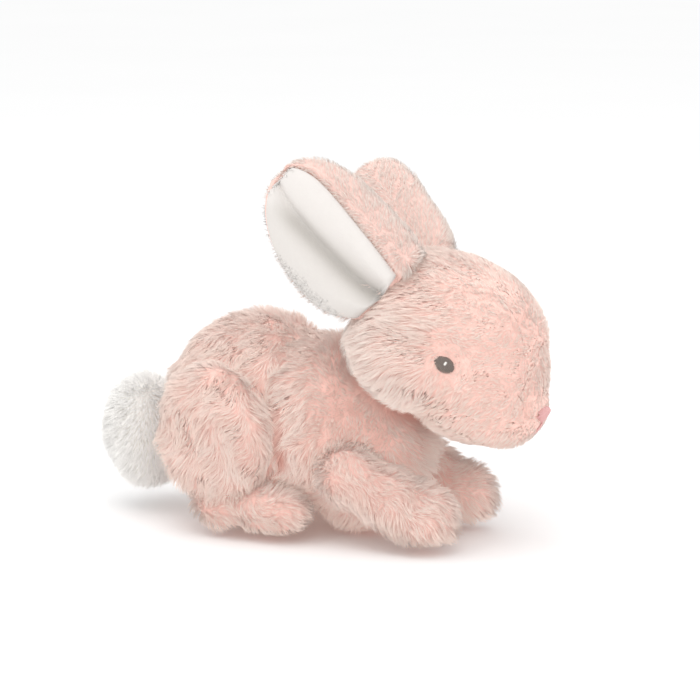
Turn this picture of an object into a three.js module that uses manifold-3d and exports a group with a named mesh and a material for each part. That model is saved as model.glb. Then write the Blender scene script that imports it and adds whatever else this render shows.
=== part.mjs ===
// A small stuffed rabbit lying on its belly, in millimetres: +X towards the nose, +Y to its left, +Z up.
// Each limb is a sewn plush cover, in panels, around its own fibre filling, and is sewn on at a seam that bends.
import * as THREE from "three";
import { mergeVertices } from "three/addons/utils/BufferGeometryUtils.js";
import Module from "manifold-3d";

const wasm = await Module();
wasm.setup();

// ---- Driving dimensions ----
const COVER = 4; // plush fabric, backing and compressed pile together
const SEAM_GAP = 0.4; // between two sewn panels
const FILL_GAP = 2.4; // between a cover and its filling
const CLEAR = 0.6; // between a moving limb and what it is sewn to
const BIG = 400; // cutting slabs reach past everything

// The soft forms, each a union of ellipsoids: centre, half-lengths, and a tilt about Y in degrees (nose down).
const TORSO = [
  { at: [-28, 0, 43], half: [41, 36, 45] },
  { at: [-2, 0, 43], half: [42, 33, 38] },
  { at: [18, 0, 35], half: [30, 26, 38] },
];
const HEAD = [
  { at: [55, 0, 82], half: [41, 35, 34.5], tilt: 12 },
  { at: [66, 0, 71], half: [30, 32, 33] },
  { at: [74.5, 0, 56], half: [22.5, 24.5, 19] },
  { at: [44.5, -19, 76], half: [28, 19, 20.5], tilt: 24 },
  { at: [44.5, 19, 76], half: [28, 19, 20.5], tilt: 24 },
];
const HAUNCH = { at: [-32, 32, 41], half: [26, 15, 31], tilt: -8 };
const FOOT = [
  { at: [-30, 30, 14], half: [15, 12.5, 14] },
  { at: [-11, 29, 12.5], half: [21, 12.5, 12.5], tilt: 4 },
];
const ARM = [
  { at: [22, 24, 29], half: [15, 14, 15] },
  { at: [37, 22, 21], half: [24, 13.5, 14.5], tilt: 26 },
  { at: [51, 20, 14.5], half: [17, 13.5, 15] },
];
const TAIL = [{ at: [-81, 0, 33], half: [16, 21, 24], tilt: -8 }];

// Where the limbs are sewn on, and so bend.
const NECK = new THREE.Vector3(34, 0, 65);
const NECK_AXIS = new THREE.Vector3(0.79, 0, 0.61).normalize();
const NECK_BALL = 16.5;
const NECK_RING = { radius: 12.5, thread: 0.9, back: 13.5 };
const NECK_ROOM = 20.4;
const SHOULDER = new THREE.Vector3(22, 24, 29);
const ANKLE = new THREE.Vector3(-33, 32, 12);
const TAIL_ROOT = new THREE.Vector3(-68, 0, 34);

// The room around the head, and how far each other limb turns from rest, in degrees.
const HEAD_ROOM = 8; // enough for nod and turn together
const SHOULDER_SWING = [0, 28]; // outwards
const ANKLE_SWING = [-12.5, 12.5];
const TAIL_SWING = [-20, 20];

// How many sides the round forms have: outside, inside, fillings, and the rooms cut for moving limbs.
const SIDES = { outer: 14, inner: 8, filling: 8, room: 8 };

// The ears: plush folded over lengthwise, thick along the front and thin along the rear edge.
// out is the way the lining faces. The sections are taken at the middle of the ear, as [across, out]:
// the lining from the rear edge over the fold's valley to the front edge, and the plush on round the back.
const EAR = {
  length: 62,
  widestAt: { front: 0.5, rear: 0.32 }, // shares of its length
  lining: 2,
  seat: 3, // from the lining's face down to the plush that it lies on
  trim: 0.8, // the lining's edge stays inside the plush
  section: [
    [25, 4],
    [19, 5.5],
    [13, 3],
    [9.5, -0.5],
    [6.5, 3],
    [2, 6.5],
    [-3.5, 7.8],
  ],
  outline: [
    [-4.8, 8.5],
    [-10, 8],
    [-15.5, 5.8],
    [-19, -0.5],
    [-17.5, -6],
    [-10, -8.5],
    [2, -8],
    [13, -6],
    [22, -1.5],
    [26.6, 2.5],
  ],
  room: 14, // radius of the socket in the head
  roomHalf: 27,
};
const EARS = {
  right: { root: [40, -18, 103], tip: [-2, -29, 143], out: [0.38, -0.9, 0.17] },
  left: { root: [36, 17, 98], tip: [-3, 41, 132.5], out: [-0.1, 0.95, 0] },
};

const ROOM_SLACK = 1.6; // makes up for the rooms' flat sides

// ---- Colours ----
const PINK = { color: 0xe9c3b6, roughness: 0.95, metalness: 0 };
const WHITE = { color: 0xe9e5e0, roughness: 0.95, metalness: 0 };
const LINING = { color: 0xe6e3df, roughness: 0.9, metalness: 0 };
const FIBRE = { color: 0xf4f2ee, roughness: 1, metalness: 0 };
const BROWN_THREAD = { color: 0x5b4a43, roughness: 0.55, metalness: 0 };
const PINK_THREAD = { color: 0xdba0a4, roughness: 0.55, metalness: 0 };

// ---- Solids ----
// A closed three.js geometry as a solid that can be joined and cut.
function solidOf(geometry) {
  const bare = geometry.clone();
  bare.deleteAttribute("normal");
  bare.deleteAttribute("uv");
  const merged = mergeVertices(bare, 1e-4);
  return new wasm.Manifold(
    new wasm.Mesh({
      numProp: 3,
      vertProperties: new Float32Array(merged.attributes.position.array),
      triVerts: new Uint32Array(merged.index.array),
    }),
  );
}

// The ellipsoid's geometry, taken in on all sides by inset, or let out if that is negative.
function ellipsoid({ at, half, tilt = 0 }, inset, detail, turn) {
  const geometry = new THREE.SphereGeometry(1, detail, Math.round(detail * 0.6));
  geometry.rotateX(Math.PI / 2);
  geometry.scale(half[0] - inset, half[1] - inset, half[2] - inset);
  geometry.rotateY(THREE.MathUtils.degToRad(tilt));
  geometry.translate(...at);
  return turn ? geometry.applyMatrix4(turn) : geometry;
}

// The union of a form's ellipsoids. turn is a matrix, for a limb that is moved from rest.
function form(ellipsoids, inset, detail, turn = null) {
  return ellipsoids
    .map((one) => solidOf(ellipsoid(one, inset, detail, turn)))
    .reduce((all, one) => all.add(one));
}

const mirrored = (ellipsoids) =>
  ellipsoids.map(({ at, ...rest }) => ({ at: [at[0], -at[1], at[2]], ...rest }));

// A box from one corner to the other.
function block(low, high) {
  const size = high.map((value, i) => value - low[i]);
  const geometry = new THREE.BoxGeometry(...size);
  geometry.translate(...low.map((value, i) => value + size[i] / 2));
  return solidOf(geometry);
}

const floorCut = block([-BIG, -BIG, -BIG], [BIG, BIG, 0]);

// A ball about a point.
function ball(point, radius, detail = SIDES.outer) {
  return solidOf(ellipsoid({ at: point.toArray(), half: [radius, radius, radius] }, 0, detail));
}

// The matrix that turns by an angle in degrees about an axis through a point.
function turnAbout(point, axis, degrees) {
  const back = new THREE.Matrix4().makeTranslation(point.clone().negate());
  const turn = new THREE.Matrix4().makeRotationAxis(axis, THREE.MathUtils.degToRad(degrees));
  return new THREE.Matrix4().makeTranslation(point).multiply(turn).multiply(back);
}

// The room that a limb needs: its form let out a little, at steps across its swing.
function sweep(ellipsoids, point, axis, [from, to], steps) {
  let room = null;
  for (let i = 0; i <= steps; i += 1) {
    const turn = turnAbout(point, axis, from + ((to - from) * i) / steps);
    const placed = form(ellipsoids, -CLEAR - ROOM_SLACK, SIDES.room, turn);
    room = room ? room.add(placed) : placed;
  }
  return room;
}

// The largest separate body of a cut solid, so that no sliver is left over.
function whole(solid) {
  return solid.decompose().reduce((a, b) => (a.volume() > b.volume() ? a : b));
}

// ---- The scene graph ----
const rabbit = new THREE.Group();

function addMesh(name, geometry, look) {
  const mesh = new THREE.Mesh(geometry, new THREE.MeshStandardMaterial(look));
  mesh.name = name;
  rabbit.add(mesh);
}

function addSolid(name, solid, look) {
  const { vertProperties, triVerts } = whole(solid).getMesh();
  const geometry = new THREE.BufferGeometry()
    .setAttribute("position", new THREE.BufferAttribute(vertProperties, 3))
    .setIndex(new THREE.BufferAttribute(triVerts, 1));
  geometry.computeVertexNormals();
  addMesh(name, geometry, look);
}

// A form's cover, cut by what it must stay clear of.
function coverOf(ellipsoids, cuts) {
  const outer = form(ellipsoids, 0, SIDES.outer).subtract(floorCut);
  const under = block([-BIG, -BIG, -BIG], [BIG, BIG, COVER]);
  const hollow = form(ellipsoids, COVER, SIDES.inner).subtract(under);
  return cuts.reduce((rest, cut) => rest.subtract(cut), outer.subtract(hollow));
}

// The filling inside a cover, cut by fewer and simpler things.
function fillingOf(ellipsoids, cuts) {
  const under = block([-BIG, -BIG, -BIG], [BIG, BIG, COVER + FILL_GAP]);
  const filling = form(ellipsoids, COVER + FILL_GAP, SIDES.filling).subtract(under);
  return cuts.reduce((rest, cut) => rest.subtract(cut), filling);
}

const Y_AXIS = new THREE.Vector3(0, 1, 0);
const Z_AXIS = new THREE.Vector3(0, 0, 1);
const sides = { left: 1, right: -1 };
const onSide = (ellipsoids, sign) => (sign > 0 ? ellipsoids : mirrored(ellipsoids));
const pointOnSide = (point, sign) => new THREE.Vector3(point.x, point.y * sign, point.z);

// ---- Torso: two side panels and a belly panel around one filling ----
const BELLY_HIGH = 13; // the belly panel's upper edge
const neckBall = ball(NECK, NECK_ROOM, SIDES.outer);
const headRoom = form(HEAD, -HEAD_ROOM, SIDES.inner);
const armRoom = (sign) =>
  sweep(
    onSide(ARM, sign),
    pointOnSide(SHOULDER, sign),
    Z_AXIS,
    SHOULDER_SWING.map((degrees) => degrees * sign),
    1,
  );
const armRooms = Object.values(sides).map(armRoom);
const tailRoom = sweep(TAIL, TAIL_ROOT, Z_AXIS, TAIL_SWING, 2);
const footRoom = (sign) =>
  sweep(onSide(FOOT, sign), pointOnSide(ANKLE, sign), Y_AXIS, ANKLE_SWING, 3);
const footRooms = Object.values(sides).map(footRoom);

// The plain block that the torso's filling leaves free for one foreleg.
const armBlock = (sign) =>
  block([4, sign > 0 ? 6 : -BIG, -BIG], [BIG, sign > 0 ? BIG : -6, 47]);
const footBlock = (sign) =>
  block([-50, sign > 0 ? 17 : -BIG, -BIG], [17, sign > 0 ? BIG : -17, 30]);

function addTorso() {
  const cover = coverOf(TORSO, [neckBall, headRoom, ...armRooms, ...footRooms, tailRoom]);
  const filling = fillingOf(TORSO, [
    neckBall,
    headRoom,
    ...Object.values(sides).flatMap((sign) => [armBlock(sign), footBlock(sign)]),
    block([-BIG, -BIG, -BIG], [-62, BIG, BIG]),
  ]);
  const half = SEAM_GAP / 2;
  const low = block([-BIG, -BIG, -BIG], [BIG, BIG, BELLY_HIGH]);
  const lowWide = block([-BIG, -BIG, -BIG], [BIG, BIG, BELLY_HIGH + SEAM_GAP]);
  const leftHalf = block([-BIG, half, -BIG], [BIG, BIG, BIG]);
  const rightHalf = block([-BIG, -BIG, -BIG], [BIG, -half, BIG]);
  addSolid("torso_left_panel", cover.subtract(lowWide).intersect(leftHalf), PINK);
  addSolid("torso_right_panel", cover.subtract(lowWide).intersect(rightHalf), PINK);
  addSolid("belly_panel", cover.intersect(low), PINK);
  addSolid("torso_filling", filling, FIBRE);
}

// ---- Haunches: a padded thigh sewn flat to each side ----
const torsoRoom = form(TORSO, -CLEAR, SIDES.outer);
function addHaunch(side, sign) {
  const outer = onSide([HAUNCH], sign);
  const cover = coverOf(outer, [torsoRoom, footRoom(sign), armRoom(sign), tailRoom]);
  addSolid(`haunch_${side}_cover`, cover, PINK);
  addSolid(`haunch_${side}_filling`, fillingOf(outer, [torsoRoom, footBlock(sign)]), FIBRE);
}

// ---- Neck: the fibre that fills the neck, inside its ring of closing stitches ----
function addNeck() {
  addSolid("neck_filling", ball(NECK, NECK_BALL, SIDES.inner), FIBRE);
  const ring = new THREE.TorusGeometry(NECK_RING.radius, NECK_RING.thread, 6, 20);
  ring.applyQuaternion(new THREE.Quaternion().setFromUnitVectors(Z_AXIS, NECK_AXIS));
  ring.translate(...NECK.clone().addScaledVector(NECK_AXIS, -NECK_RING.back).toArray());
  addSolid("neck_seam", solidOf(ring), PINK_THREAD);
}

// ---- Face ----
const EYE = { at: [66, 33.1, 77], half: [4.2, 2, 2.9], tilt: 32, turn: -14 };
const NOSE = { at: [93.6, 0, 53.5], wide: 11, high: 7.5, deep: 4 };
const MOUTH = { front: 91.8, low: 42.5, high: 48.5, wide: 1.6, deep: 4 };

function eyeGeometry(sign, grow) {
  const geometry = new THREE.SphereGeometry(1, 12, 8);
  geometry.scale(EYE.half[0] + grow, EYE.half[1] + grow, EYE.half[2] + grow);
  geometry.rotateY(THREE.MathUtils.degToRad(EYE.tilt));
  geometry.rotateZ(THREE.MathUtils.degToRad(EYE.turn * sign));
  return geometry.translate(EYE.at[0], EYE.at[1] * sign, EYE.at[2]);
}

// A rounded triangle, wide at the top, standing out of the front of the face.
function noseGeometry(grow) {
  const wide = NOSE.wide / 2 + grow;
  const high = NOSE.high / 2 + grow;
  const outline = new THREE.Shape()
    .moveTo(-wide * 0.6, high)
    .quadraticCurveTo(0, high * 0.8, wide * 0.6, high)
    .quadraticCurveTo(wide * 1.15, high, wide * 0.8, high * 0.2)
    .quadraticCurveTo(wide * 0.3, -high, 0, -high)
    .quadraticCurveTo(-wide * 0.3, -high, -wide * 0.8, high * 0.2)
    .quadraticCurveTo(-wide * 1.15, high, -wide * 0.6, high);
  const deep = NOSE.deep + 2 * grow;
  const geometry = new THREE.ExtrudeGeometry(outline, {
    depth: deep,
    bevelEnabled: false,
    curveSegments: 4,
  });
  geometry.translate(0, 0, -deep / 2);
  geometry.rotateX(Math.PI / 2);
  geometry.rotateZ(Math.PI / 2);
  return geometry.translate(...NOSE.at);
}

function mouthSolid(grow) {
  const side = MOUTH.wide / 2 + grow;
  return block(
    [MOUTH.front - MOUTH.deep - grow, -side, MOUTH.low - grow],
    [MOUTH.front + grow, side, MOUTH.high + grow],
  );
}

// ---- Ears ----
// The ear's own frame: along runs from root to tip, out is the lining's side, across is its width.
function earFrame({ root, tip, out }) {
  const start = new THREE.Vector3(...root);
  const along = new THREE.Vector3(...tip).sub(start).normalize();
  const facing = new THREE.Vector3(...out);
  facing.addScaledVector(along, -facing.dot(along)).normalize();
  const across = new THREE.Vector3().crossVectors(facing, along);
  if (across.x > 0) across.negate(); // towards the rear wing
  return { start, along, out: facing, across };
}

// The ear's width at a share of its length, to the front and to the rear, and its thickness: shares of its section's.
function earScale(share) {
  const { front, rear } = EAR.widestAt;
  const past = (from) => Math.max((share - from) / (1 - from), 0);
  const root = Math.max(1 - share / rear, 0);
  return {
    front: Math.sqrt(1 - past(front) ** 3),
    rear: Math.sqrt(1 - past(rear) ** 2) * (1 - 0.35 * root ** 2),
    thick: (1.05 - 0.5 * share) * (1 - 0.5 * past(front) ** 3),
  };
}

// A ring of the ear's plush or of its lining.
function earRing(part, share) {
  const { front, rear, thick } = earScale(share);
  const scaled = ([x, y]) => [x * (x > 0 ? rear : front), y * thick];
  const face = EAR.section.map(scaled);
  if (part === "lining") {
    face[0][0] -= EAR.trim;
    face.at(-1)[0] += EAR.trim;
    return [...face, ...face.toReversed().map(([x, y]) => [x, y - EAR.lining])];
  }
  return [...face.map(([x, y]) => [x, y - EAR.seat]), ...EAR.outline.map(scaled)];
}

function earLayer(frame, part) {
  const stations = 9;
  const [first, last] = part === "lining" ? [0.03, 0.94] : [0, 0.99];
  const rings = [];
  for (let i = 0; i < stations; i += 1) {
    const spread = Math.sin((Math.PI / 2) * (i / (stations - 1))); // closer together at the tip
    const share = first + (last - first) * spread;
    const place = ([across, out]) =>
      frame.start
        .clone()
        .addScaledVector(frame.along, share * EAR.length)
        .addScaledVector(frame.across, across)
        .addScaledVector(frame.out, out);
    rings.push(earRing(part, share).map(place));
  }
  return loft(rings);
}

// A closed surface through rings of points, with a flat fan over each end.
function loft(rings) {
  const points = [];
  const faces = [];
  const count = rings[0].length;
  rings.forEach((ring) => ring.forEach((p) => points.push(p.x, p.y, p.z)));
  for (let i = 0; i + 1 < rings.length; i += 1) {
    for (let k = 0; k < count; k += 1) {
      const next = (k + 1) % count;
      const [a, b] = [i * count + k, i * count + next];
      faces.push(a, b, b + count, a, b + count, a + count);
    }
  }
  for (const [i, flip] of [[0, true], [rings.length - 1, false]]) {
    const middle = rings[i]
      .reduce((sum, p) => sum.add(p), new THREE.Vector3())
      .divideScalar(count);
    const centre = points.length / 3;
    points.push(middle.x, middle.y, middle.z);
    for (let k = 0; k < count; k += 1) {
      const [a, b] = [i * count + k, i * count + ((k + 1) % count)];
      if (flip) faces.push(b, a, centre);
      else faces.push(a, b, centre);
    }
  }
  const solid = new wasm.Manifold(
    new wasm.Mesh({
      numProp: 3,
      vertProperties: new Float32Array(points),
      triVerts: new Uint32Array(faces),
    }),
  );
  if (solid.volume() > 0) return solid;
  for (let f = 0; f < faces.length; f += 3) [faces[f + 1], faces[f + 2]] = [faces[f + 2], faces[f + 1]];
  return new wasm.Manifold(
    new wasm.Mesh({
      numProp: 3,
      vertProperties: new Float32Array(points),
      triVerts: new Uint32Array(faces),
    }),
  );
}

// The socket in the head that an ear's root sits and turns in.
function earRoom(frame) {
  const geometry = new THREE.CylinderGeometry(EAR.room, EAR.room, 2 * EAR.roomHalf, 14);
  geometry.applyQuaternion(new THREE.Quaternion().setFromUnitVectors(Y_AXIS, frame.across));
  return solidOf(geometry.translate(...frame.start.toArray()));
}

const earFrames = {
  left: earFrame(EARS.left),
  right: earFrame(EARS.right),
};

function addEar(side) {
  const frame = earFrames[side];
  addSolid(`ear_${side}_back`, earLayer(frame, "plush"), PINK);
  addSolid(`ear_${side}_lining`, earLayer(frame, "lining"), LINING);
}

// ---- Head: two side panels and a centre gusset from nose to nape, around one filling ----
const GUSSET = 12; // half the gusset's width
function addHead() {
  const grow = 0.4;
  const faceRooms = [
    ...Object.values(sides).map((sign) => solidOf(eyeGeometry(sign, grow))),
    solidOf(noseGeometry(grow)),
    mouthSolid(grow),
  ];
  const earRooms = Object.values(earFrames).map(earRoom);
  const cover = coverOf(HEAD, [neckBall, ...earRooms, ...faceRooms]);
  const filling = fillingOf(HEAD, [neckBall, ...earRooms, solidOf(noseGeometry(grow)), mouthSolid(grow)]);
  const half = SEAM_GAP / 2;
  // The gusset lies above a plane that rises from the nose to the nape.
  const above = new THREE.BoxGeometry(BIG, 2 * GUSSET, BIG).translate(0, 0, BIG / 2);
  above.rotateY(THREE.MathUtils.degToRad(14)).translate(60, 0, 62);
  const strip = solidOf(above);
  const wide = new THREE.BoxGeometry(BIG, 2 * (GUSSET + SEAM_GAP), BIG);
  wide.translate(0, 0, BIG / 2 - SEAM_GAP);
  wide.rotateY(THREE.MathUtils.degToRad(14)).translate(60, 0, 62);
  const rest = cover.subtract(solidOf(wide));
  addSolid("head_left_panel", rest.intersect(block([-BIG, half, -BIG], [BIG, BIG, BIG])), PINK);
  addSolid("head_right_panel", rest.intersect(block([-BIG, -BIG, -BIG], [BIG, -half, BIG])), PINK);
  addSolid("head_gusset", cover.intersect(strip), PINK);
  addSolid("head_filling", filling, FIBRE);
  for (const [side, sign] of Object.entries(sides))
    addSolid(`eye_${side}`, solidOf(eyeGeometry(sign, 0)), BROWN_THREAD);
  addSolid("nose", solidOf(noseGeometry(0)), PINK_THREAD);
  addSolid("mouth_stitch", mouthSolid(0), PINK_THREAD);
}

// ---- Forelegs: an outer and an inner panel around a filling ----
function addArm(side, sign) {
  const ellipsoids = onSide(ARM, sign);
  const cover = coverOf(ellipsoids, []);
  const seam = SHOULDER.y;
  const outerHalf = block([-BIG, seam + SEAM_GAP / 2, -BIG], [BIG, BIG, BIG]);
  const innerHalf = block([-BIG, -BIG, -BIG], [BIG, seam - SEAM_GAP / 2, BIG]);
  const flip = (solid) => (sign > 0 ? solid : solid.mirror([0, 1, 0]));
  addSolid(`arm_${side}_outer_panel`, cover.intersect(flip(outerHalf)), PINK);
  addSolid(`arm_${side}_inner_panel`, cover.intersect(flip(innerHalf)), PINK);
  addSolid(`arm_${side}_filling`, fillingOf(ellipsoids, []), FIBRE);
}

// ---- Hind feet: an upper and a sole around a filling ----
function addFoot(side, sign) {
  const ellipsoids = onSide(FOOT, sign);
  const cover = coverOf(ellipsoids, []);
  const seam = 8;
  const upper = block([-BIG, -BIG, seam + SEAM_GAP / 2], [BIG, BIG, BIG]);
  const lower = block([-BIG, -BIG, -BIG], [BIG, BIG, seam - SEAM_GAP / 2]);
  addSolid(`foot_${side}_upper`, cover.intersect(upper), PINK);
  addSolid(`foot_${side}_sole`, cover.intersect(lower), PINK);
  addSolid(`foot_${side}_filling`, fillingOf(ellipsoids, []), FIBRE);
}

// ---- Tail: two white panels around a filling ----
function addTail() {
  const cover = coverOf(TAIL, []);
  const half = SEAM_GAP / 2;
  addSolid("tail_left_panel", cover.intersect(block([-BIG, half, -BIG], [BIG, BIG, BIG])), WHITE);
  addSolid("tail_right_panel", cover.intersect(block([-BIG, -BIG, -BIG], [BIG, -half, BIG])), WHITE);
  addSolid("tail_filling", fillingOf(TAIL, []), FIBRE);
}

addTorso();
addNeck();
addHead();
addTail();
for (const [side, sign] of Object.entries(sides)) {
  addHaunch(side, sign);
  addEar(side);
  addArm(side, sign);
  addFoot(side, sign);
}

export default rabbit;
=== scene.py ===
from math import cos, pi, radians, sin

import bpy
import numpy as np
from mathutils import Matrix, Vector
from mathutils.bvhtree import BVHTree
from mathutils.kdtree import KDTree


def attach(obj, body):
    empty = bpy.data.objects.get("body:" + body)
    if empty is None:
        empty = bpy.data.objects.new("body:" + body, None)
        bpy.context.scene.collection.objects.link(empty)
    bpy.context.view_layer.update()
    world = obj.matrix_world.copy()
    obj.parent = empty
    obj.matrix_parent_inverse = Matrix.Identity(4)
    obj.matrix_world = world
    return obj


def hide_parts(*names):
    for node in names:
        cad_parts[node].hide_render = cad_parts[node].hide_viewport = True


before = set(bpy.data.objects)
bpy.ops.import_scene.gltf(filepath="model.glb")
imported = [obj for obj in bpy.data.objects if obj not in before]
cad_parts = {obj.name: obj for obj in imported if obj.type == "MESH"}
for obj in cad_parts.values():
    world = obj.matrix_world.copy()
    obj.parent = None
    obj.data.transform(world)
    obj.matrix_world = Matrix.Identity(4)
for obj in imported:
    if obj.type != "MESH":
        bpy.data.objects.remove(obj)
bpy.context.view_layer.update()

mm = 0.001  # sizes below are in millimetres, the scene is in metres
sides = {"left": 1, "right": -1}


def deselect():
    if bpy.context.mode != "OBJECT":
        bpy.ops.object.mode_set(mode="OBJECT")
    bpy.ops.object.select_all(action="DESELECT")


def pick(*objects):
    deselect()
    for each in objects:
        each.select_set(True)
    bpy.context.view_layer.objects.active = objects[0]
    return objects[0]


def settle(piece):  # the piece's place goes into its mesh
    pick(piece)
    bpy.ops.object.transform_apply(location=True, rotation=True, scale=True)
    return piece


def applyAll(piece):
    pick(piece)
    for modifier in list(piece.modifiers):
        bpy.ops.object.modifier_apply(modifier=modifier.name)
    return piece


def joined(objects, name):
    pick(*objects)
    if len(objects) > 1:
        bpy.ops.object.join()
    made = bpy.context.active_object
    made.name = made.data.name = name
    return made


def faceOutwards(piece):
    pick(piece)
    bpy.ops.object.mode_set(mode="EDIT")
    bpy.ops.mesh.select_all(action="SELECT")
    bpy.ops.mesh.normals_make_consistent(inside=False)
    bpy.ops.object.mode_set(mode="OBJECT")
    bpy.ops.object.shade_smooth()


def cover(piece, material):
    piece.data.materials.clear()
    piece.data.materials.append(material)


def fasten(piece, body, stands=None):
    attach(piece, body)
    if stands:
        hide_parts(stands)


def pointsOf(mesh, kind="co"):
    values = np.empty(len(mesh.vertices) * 3)
    mesh.vertices.foreach_get(kind, values)
    return values.reshape(-1, 3)


def setPoints(mesh, points):
    mesh.vertices.foreach_set("co", points.ravel())
    mesh.update()


def unit(vectors):
    return vectors / np.maximum(np.linalg.norm(vectors, axis=-1, keepdims=True), 1e-12)


def smoothStep(low, high, values):
    share = np.clip((values - low) / (high - low), 0, 1)
    return share * share * (3 - 2 * share)


# Shaders: sockets that take Python arithmetic
class Wire:
    def __init__(self, finish, socket):
        self.finish, self.socket = finish, socket

    def maths(self, operation, *values):
        return self.finish.add("ShaderNodeMath", {"operation": operation}, values)

    def __add__(self, other):
        return self.maths("ADD", self, other)

    def __mul__(self, other):
        return self.maths("MULTIPLY", self, other)

    def __pow__(self, other):
        return self.maths("POWER", self, other)

    __radd__, __rmul__ = __add__, __mul__


class Finish:
    def __init__(self, name, **fixed):
        self.material = bpy.data.materials.new(name)
        self.material.use_nodes = True
        self.tree = self.material.node_tree
        self.shader = self.tree.nodes["Principled BSDF"]
        for socket, value in fixed.items():
            self.shader.inputs[socket.replace("_", " ")].default_value = value

    def add(self, kind, settings=None, inputs=(), output=0):
        node = self.tree.nodes.new(kind)
        for key, value in (settings or {}).items():
            setattr(node, key, value)
        pairs = inputs.items() if isinstance(inputs, dict) else enumerate(inputs)
        for key, value in pairs:
            if isinstance(value, Wire):
                self.tree.links.new(value.socket, node.inputs[key])
            else:
                node.inputs[key].default_value = value
        return Wire(self, node.outputs[output])

    def feed(self, **wires):
        for socket, wire in wires.items():
            self.tree.links.new(wire.socket, self.shader.inputs[socket.replace("_", " ")])
        return self.material

    def place(self):
        return self.add("ShaderNodeTexCoord", output="Object")

    def noise(self, scale, detail=3.0, roughness=0.55):  # scale is the size of a patch, in millimetres
        inputs = {"Vector": self.place(), "Scale": 1 / (scale * mm)}
        inputs |= {"Detail": detail, "Roughness": roughness}
        return self.add("ShaderNodeTexNoise", None, inputs, "Fac")

    def read(self, attribute):
        return self.add("ShaderNodeAttribute", {"attribute_name": attribute}, output="Fac")

    def mix(self, share, first, second):
        made = self.add("ShaderNodeMix", {"data_type": "RGBA", "clamp_factor": True})
        node = made.socket.node
        for socket, value in ((node.inputs[0], share), (node.inputs[6], first), (node.inputs[7], second)):
            if isinstance(value, Wire):
                self.tree.links.new(value.socket, socket)
            else:
                socket.default_value = value
        return Wire(self, node.outputs[2])

    def bump(self, height, strength, distance):
        inputs = {"Height": height, "Strength": strength, "Distance": distance * mm}
        return self.add("ShaderNodeBump", None, inputs, "Normal")


def plush(name, look):
    # The pile glows in its own colour: painted glow, in place of light passed on from hair to hair.
    finish = Finish(
        name,
        Sheen_Weight=look["sheen"],
        Sheen_Roughness=0.45,
        Sheen_Tint=look["sheenTint"],
        Specular_IOR_Level=0.12,
        Emission_Strength=look["paintedGlow"],
    )
    along, tone, cream, shade = (finish.read(key) for key in ("along", "tone", "cream", "shade"))
    patches = finish.noise(look["patch"], 2.0)
    tip = finish.mix(patches * look["patchShare"], look["tip"], look["deep"])
    tip = finish.mix(cream, tip, look["cream"])
    # Darker towards each hair's root: painted shade down among the hairs.
    colour = finish.mix(along ** look["fade"], look["root"], tip)
    colour = finish.mix(tone * look["mottle"], colour, look["pale"])
    # Painted shade: darker towards the crease colour where the shade attribute says, in folds and hollows.
    colour = finish.mix(shade, colour, look["creaseShade"])
    rough = 0.72 + 0.2 * finish.noise(3.0)
    normal = finish.bump(finish.noise(0.35, 2.0), 0.25, 0.15)
    return finish.feed(Base_Color=colour, Emission_Color=colour, Roughness=rough, Normal=normal)


pinkLook = {
    # root: darker, deeper pink, painted shade down among the hairs
    "root": (0.83, 0.49, 0.42, 1),
    "tip": (0.875, 0.745, 0.655, 1),
    "pale": (0.94, 0.85, 0.79, 1),
    "deep": (0.90, 0.65, 0.575, 1),
    "cream": (0.85, 0.765, 0.69, 1),
    # crease: painted shade in folds and hollows
    "creaseShade": (0.66, 0.32, 0.26, 1),
    "fade": 0.6,
    "mottle": 0.35,
    "patch": 22,
    "patchShare": 0.5,
    "sheen": 0.35,
    "sheenTint": (1.0, 0.93, 0.9, 1),
    "paintedGlow": 0.2,  # painted glow: the pile shines in its own colour, in place of light passed on from hair to hair
}
whiteLook = {
    "root": (0.78, 0.75, 0.71, 1),
    "tip": (0.94, 0.92, 0.89, 1),
    "pale": (0.97, 0.96, 0.94, 1),
    "deep": (0.89, 0.86, 0.82, 1),
    "cream": (0.96, 0.92, 0.86, 1),
    "creaseShade": (0.66, 0.60, 0.55, 1),
    "fade": 0.5,
    "mottle": 0.4,
    "patch": 18,
    "patchShare": 0.3,
    "sheen": 0.35,
    "sheenTint": (1.0, 1.0, 1.0, 1),
    # painted glow, as on the pink plush
    "paintedGlow": 0.2,
}
pinkPlush = plush("pinkPlush", pinkLook)
whitePlush = plush("whitePlush", whiteLook)


# Soft forms: rounded lumps grown together into one skin
def addLump(lump, inset):
    bpy.ops.mesh.primitive_uv_sphere_add(segments=36, ring_count=22, radius=1)
    ball = bpy.context.active_object
    ball.scale = [(half - inset) * mm for half in lump["half"]]
    ball.rotation_euler = (0, radians(lump.get("tilt", 0)), 0)
    ball.location = [value * mm for value in lump["at"]]
    return settle(ball)


# The filling presses the fabric out until it is taut: a short cloth simulation, held to a small distance.
def swell(skin, cloth):
    before = pointsOf(skin.data)
    fabric = skin.modifiers.new("fabric", "CLOTH")
    fabric.settings.quality = cloth["quality"]
    fabric.settings.mass = cloth["mass"]
    fabric.settings.tension_stiffness = fabric.settings.compression_stiffness = cloth["stiffness"]
    fabric.settings.shear_stiffness = cloth["stiffness"]
    fabric.settings.use_pressure = True
    fabric.settings.uniform_pressure_force = cloth["pressure"]
    fabric.settings.effector_weights.gravity = 0
    fabric.collision_settings.use_collision = False
    fabric.point_cache.frame_start, fabric.point_cache.frame_end = 1, cloth["frames"]
    for frameNumber in range(1, cloth["frames"] + 1):
        bpy.context.scene.frame_set(frameNumber)
    applyAll(skin)
    bpy.context.scene.frame_set(1)
    moved = pointsOf(skin.data) - before
    far = np.linalg.norm(moved, axis=1)
    most = cloth["most"] * mm
    setPoints(skin.data, before + moved * np.minimum(1, most / np.maximum(far, 1e-9))[:, None])
    print(skin.name, "swelled by up to", round(float(far.max()) / mm, 2), "mm, held to", cloth["most"])


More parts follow.
